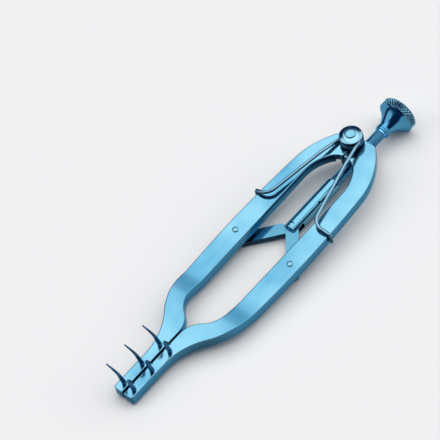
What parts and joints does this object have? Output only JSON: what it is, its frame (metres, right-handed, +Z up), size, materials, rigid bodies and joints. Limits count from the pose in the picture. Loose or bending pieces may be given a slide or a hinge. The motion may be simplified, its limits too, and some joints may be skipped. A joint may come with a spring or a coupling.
{
  "type": "self retaining retractor",
  "caption": "Small screw-spread self retaining retractor: cranked arms with sharp prongs, opened through toggle links by a knurled thumb screw and closed by a spring.",
  "frame": {"origin": "bottom centre of the closed instrument's bounding box, level with the lowest point of the knob's rim", "axes": "+X along the screw towards the thumb knob, +Y to the left arm, +Z up towards the prongs' points"},
  "size_m": [0.0684, 0.0162, 0.0119],
  "materials": {
    "arm_blue": "blue anodised, satin",
    "link_blue": "blue anodised, satin",
    "prong_blue": "blue anodised, satin",
    "rivet_blue": "blue anodised, satin",
    "cap_blue": "blue anodised, satin",
    "wire_blue": "blue anodised, satin",
    "screw_blue": "blue anodised, satin",
    "knob_blue": "blue anodised, satin",
    "sleeve_blue": "blue anodised, satin"
  },
  "bodies": {
    "hinge_assembly": {"nut_block": "link_blue", "hinge_pin": "rivet_blue", "hinge_cap": "cap_blue", "torsion_spring": "wire_blue"},
    "left_arm": {"left_arm": "arm_blue", "left_prong_1": "prong_blue", "left_prong_2": "prong_blue", "left_prong_3": "prong_blue", "left_link_pin": "rivet_blue"},
    "right_arm": {"right_arm": "arm_blue", "right_prong_1": "prong_blue", "right_prong_2": "prong_blue", "right_prong_3": "prong_blue", "right_link_pin": "rivet_blue"},
    "sleeve": {"sleeve": "sleeve_blue", "retaining_pin": "rivet_blue", "apex_pin": "rivet_blue"},
    "screw": {"screw_spindle": "screw_blue", "thumb_knob": "knob_blue"},
    "left_link": {"left_link": "link_blue"},
    "right_link": {"right_link": "link_blue"}
  },
  "joints": [
    {"name": "sleeve_slide", "type": "slide", "parent": "hinge_assembly", "child": "sleeve", "axis": [-1, 0, 0], "range_m": [0, 0.0028]},
    {"name": "screw_turn", "type": "hinge", "parent": "sleeve", "child": "screw", "pos_m": [0.02325, 0, 0.00325], "axis": [-1, 0, 0], "range_deg": [0, 2520]},
    {"name": "left_arm_hinge", "type": "hinge", "parent": "hinge_assembly", "child": "left_arm", "pos_m": [0.02325, 0.0011, 0.0044], "axis": [0, 0, -1], "range_deg": [0, 6.1], "deforming": ["torsion_spring"]},
    {"name": "right_arm_hinge", "type": "hinge", "parent": "hinge_assembly", "child": "right_arm", "pos_m": [0.02325, 0.0011, 0.0044], "axis": [0, 0, 1], "range_deg": [0, 6.41], "deforming": ["torsion_spring"]},
    {"name": "left_link_swing", "type": "hinge", "parent": "sleeve", "child": "left_link", "pos_m": [0.00605, 0, 0.00325], "axis": [0, 0, -1], "range_deg": [0, 27.47]},
    {"name": "right_link_swing", "type": "hinge", "parent": "sleeve", "child": "right_link", "pos_m": [0.00605, 0, 0.00325], "axis": [0, 0, 1], "range_deg": [0, 29.43]}
  ],
  "couplings": [
    {"joint": "screw_turn", "follows": "sleeve_slide", "rad_per_m": 15708},
    {"joint": "left_arm_hinge", "follows": "sleeve_slide", "rad_per_m": 38.024},
    {"joint": "right_arm_hinge", "follows": "sleeve_slide", "rad_per_m": 39.965},
    {"joint": "left_link_swing", "follows": "sleeve_slide", "rad_per_m": 171.24},
    {"joint": "right_link_swing", "follows": "sleeve_slide", "rad_per_m": 183.44}
  ]
}
